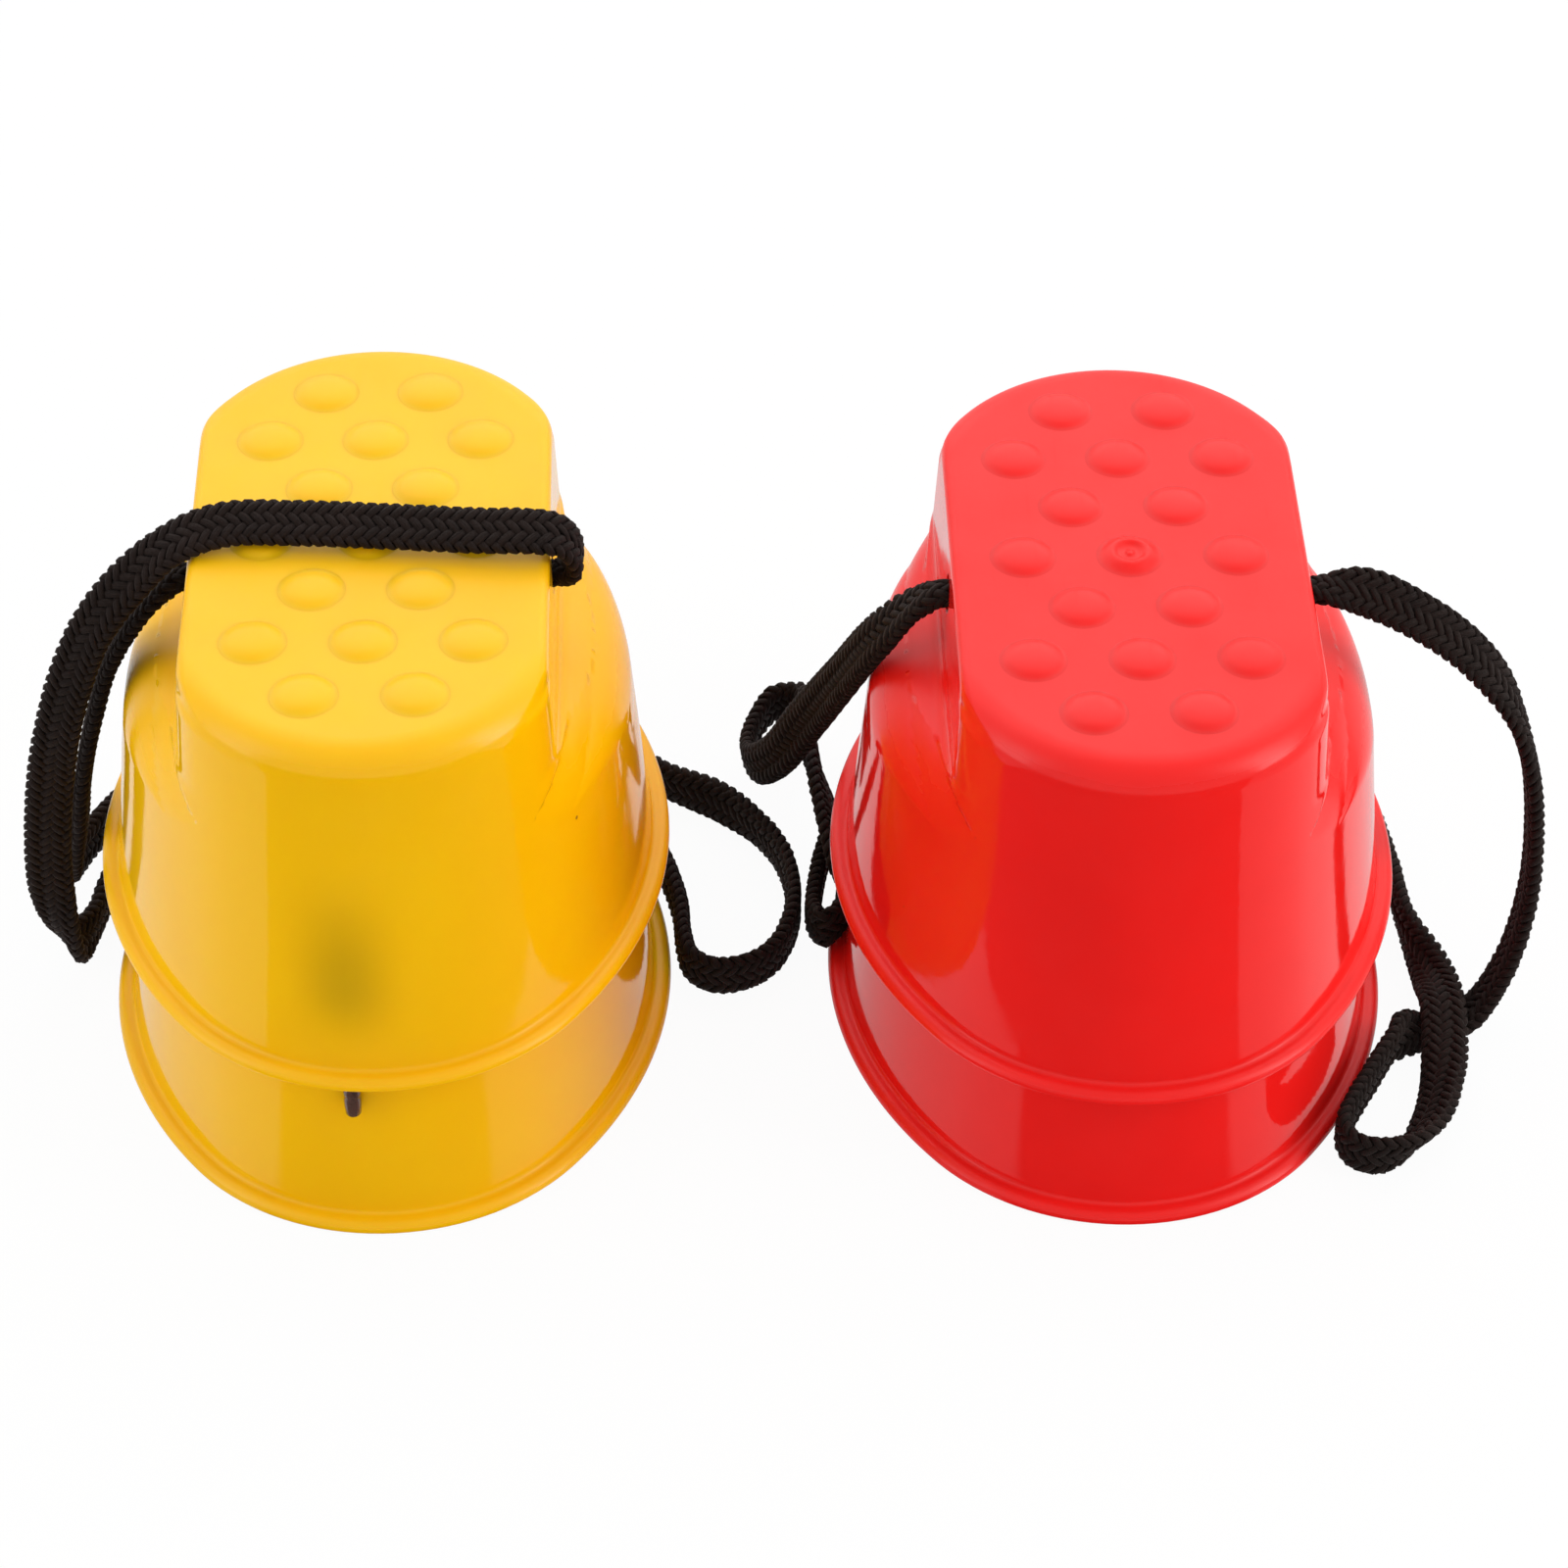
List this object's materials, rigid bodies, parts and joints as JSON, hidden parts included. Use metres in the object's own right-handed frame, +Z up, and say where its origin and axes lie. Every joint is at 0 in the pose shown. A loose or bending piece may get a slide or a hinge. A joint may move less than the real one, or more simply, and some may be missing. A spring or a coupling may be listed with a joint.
{
  "type": "stacking cup stilts",
  "caption": "Moulded plastic cup stilts nested in stacks: bumped oval foot plate over a flared cup, wide rim to walk on, and a flat braided hand lace knotted through the side holes.",
  "frame": {"origin": "on the floor, midway between the two stacks, at the middle of the rims' footprint", "axes": "+Z up through the cups, +X from the yellow pair to the red pair, +Y away from the viewer of the picture, along the foot plates"},
  "size_m": [0.3113, 0.1745, 0.125],
  "materials": {
    "yellow_plastic": "gloss",
    "red_plastic": "gloss",
    "lace_braid": "braided",
    "lace_tip": "gloss",
    "tie_band": "matt"
  },
  "bodies": {
    "yellow_lower_stilt": {"yellow_lower_cup": "yellow_plastic", "yellow_lower_lace_left": "lace_braid", "yellow_lower_lace_right": "lace_braid", "yellow_lower_coil": "lace_braid", "yellow_lower_tie": "tie_band", "yellow_lower_knot_left": "lace_braid", "yellow_lower_knot_right": "lace_braid", "yellow_lower_tip_left": "lace_tip", "yellow_lower_tip_right": "lace_tip"},
    "yellow_upper_stilt": {"yellow_upper_cup": "yellow_plastic", "yellow_upper_lace": "lace_braid", "yellow_upper_tail": "lace_braid", "yellow_upper_knot_left": "lace_braid", "yellow_upper_knot_right": "lace_braid", "yellow_upper_tip_left": "lace_tip", "yellow_upper_tip_right": "lace_tip"},
    "red_lower_stilt": {"red_lower_cup": "red_plastic", "red_lower_lace_left": "lace_braid", "red_lower_lace_right": "lace_braid", "red_lower_coil": "lace_braid", "red_lower_tie": "tie_band", "red_lower_knot_left": "lace_braid", "red_lower_knot_right": "lace_braid", "red_lower_tip_left": "lace_tip", "red_lower_tip_right": "lace_tip"},
    "red_upper_stilt": {"red_upper_cup": "red_plastic", "red_upper_lace": "lace_braid", "red_upper_knot_left": "lace_braid", "red_upper_knot_right": "lace_braid", "red_upper_tip_left": "lace_tip", "red_upper_tip_right": "lace_tip"}
  },
  "joints": [
    {"name": "yellow_lift", "type": "slide", "parent": "yellow_lower_stilt", "child": "yellow_upper_stilt", "axis": [0, 0, 1], "range_m": [0, 0.12]},
    {"name": "red_pair_apart", "type": "slide", "parent": "yellow_lower_stilt", "child": "red_lower_stilt", "axis": [1, 0, 0], "range_m": [0, 0.1]},
    {"name": "red_lift", "type": "slide", "parent": "red_lower_stilt", "child": "red_upper_stilt", "axis": [0, 0, 1], "range_m": [0, 0.12]}
  ]
}
